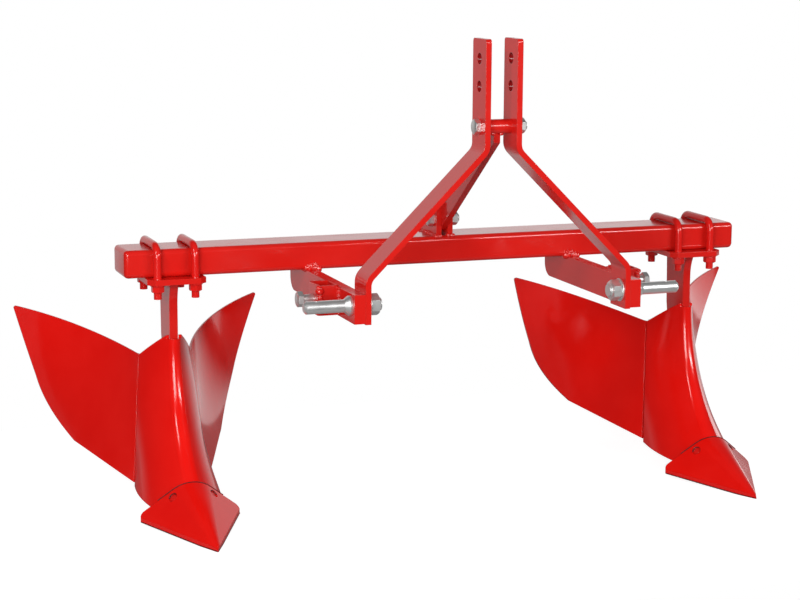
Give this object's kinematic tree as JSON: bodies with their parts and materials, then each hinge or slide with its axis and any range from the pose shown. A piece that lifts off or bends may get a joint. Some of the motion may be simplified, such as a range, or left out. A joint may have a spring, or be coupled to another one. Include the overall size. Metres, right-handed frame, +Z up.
{
  "type": "tractor ridger",
  "caption": "Mounted tractor ridger: ridging bodies with hinged wings and bolted shares, clamped by U-bolts under a hollow toolbar with a bent-bar mast, stay and lower hitch pins.",
  "frame": {"origin": "on the ground under the middle of the part's bounding box", "axes": "+X along the toolbar towards the right of the picture, +Y to the rear of the implement, +Z up; it travels towards -Y"},
  "size_m": [1.4902, 0.6133, 0.847],
  "materials": {
    "red_paint": "gloss red powder coat over steel",
    "zinc": "bright zinc plate"
  },
  "bodies": {
    "hitch_frame": {"check_stud_left": "zinc", "check_stud_right": "zinc", "end_cap_left": "red_paint", "end_cap_right": "red_paint", "hitch_arm_left": "red_paint", "hitch_arm_right": "red_paint", "hitch_pin_left": "zinc", "hitch_pin_nut_left": "zinc", "hitch_pin_nut_right": "zinc", "hitch_pin_right": "zinc", "mast_bar_left": "red_paint", "mast_bar_right": "red_paint", "mast_bolt": "zinc", "mast_spacer": "red_paint", "mast_stay": "red_paint", "stay_bolt": "zinc", "stay_lugs": "red_paint", "stud_stub_left": "red_paint", "stud_stub_right": "red_paint", "toolbar": "red_paint"},
    "left_ridger": {"left_clamp_plate": "red_paint", "left_frog": "red_paint", "left_hinge_pins": "zinc", "left_nose": "red_paint", "left_nose_hinges": "red_paint", "left_quadrants": "red_paint", "left_shank": "red_paint", "left_share": "red_paint", "left_share_bolts": "red_paint", "left_u_bolt_nuts": "red_paint", "left_u_bolts": "red_paint"},
    "left_ridger_left_wing": {"left_lock_bolt_left": "zinc", "left_wing_bracket_left": "red_paint", "left_wing_hinge_left": "red_paint", "left_wing_left": "red_paint"},
    "left_ridger_right_wing": {"left_lock_bolt_right": "zinc", "left_wing_bracket_right": "red_paint", "left_wing_hinge_right": "red_paint", "left_wing_right": "red_paint"},
    "right_ridger": {"right_clamp_plate": "red_paint", "right_frog": "red_paint", "right_hinge_pins": "zinc", "right_nose": "red_paint", "right_nose_hinges": "red_paint", "right_quadrants": "red_paint", "right_shank": "red_paint", "right_share": "red_paint", "right_share_bolts": "red_paint", "right_u_bolt_nuts": "red_paint", "right_u_bolts": "red_paint"},
    "right_ridger_left_wing": {"right_lock_bolt_left": "zinc", "right_wing_bracket_left": "red_paint", "right_wing_hinge_left": "red_paint", "right_wing_left": "red_paint"},
    "right_ridger_right_wing": {"right_lock_bolt_right": "zinc", "right_wing_bracket_right": "red_paint", "right_wing_hinge_right": "red_paint", "right_wing_right": "red_paint"}
  },
  "joints": [
    {"name": "left_ridger_slide", "type": "slide", "parent": "hitch_frame", "child": "left_ridger", "axis": [1, 0, 0], "range_m": [-0.035, 0.18]},
    {"name": "left_ridger_left_wing_hinge", "type": "hinge", "parent": "left_ridger", "child": "left_ridger_left_wing", "pos_m": [-0.55629, 0.04576, 0.155], "axis": [0.0941, 0.1619, 0.9823], "range_deg": [-14, 8]},
    {"name": "left_ridger_right_wing_hinge", "type": "hinge", "parent": "left_ridger", "child": "left_ridger_right_wing", "pos_m": [-0.46371, 0.04576, 0.155], "axis": [0.0941, -0.1619, -0.9823], "range_deg": [-14, 8]},
    {"name": "right_ridger_slide", "type": "slide", "parent": "hitch_frame", "child": "right_ridger", "axis": [1, 0, 0], "range_m": [-0.18, 0.035]},
    {"name": "right_ridger_left_wing_hinge", "type": "hinge", "parent": "right_ridger", "child": "right_ridger_left_wing", "pos_m": [0.46371, 0.04576, 0.155], "axis": [0.0941, 0.1619, 0.9823], "range_deg": [-14, 8]},
    {"name": "right_ridger_right_wing_hinge", "type": "hinge", "parent": "right_ridger", "child": "right_ridger_right_wing", "pos_m": [0.55629, 0.04576, 0.155], "axis": [0.0941, -0.1619, -0.9823], "range_deg": [-14, 8]}
  ]
}
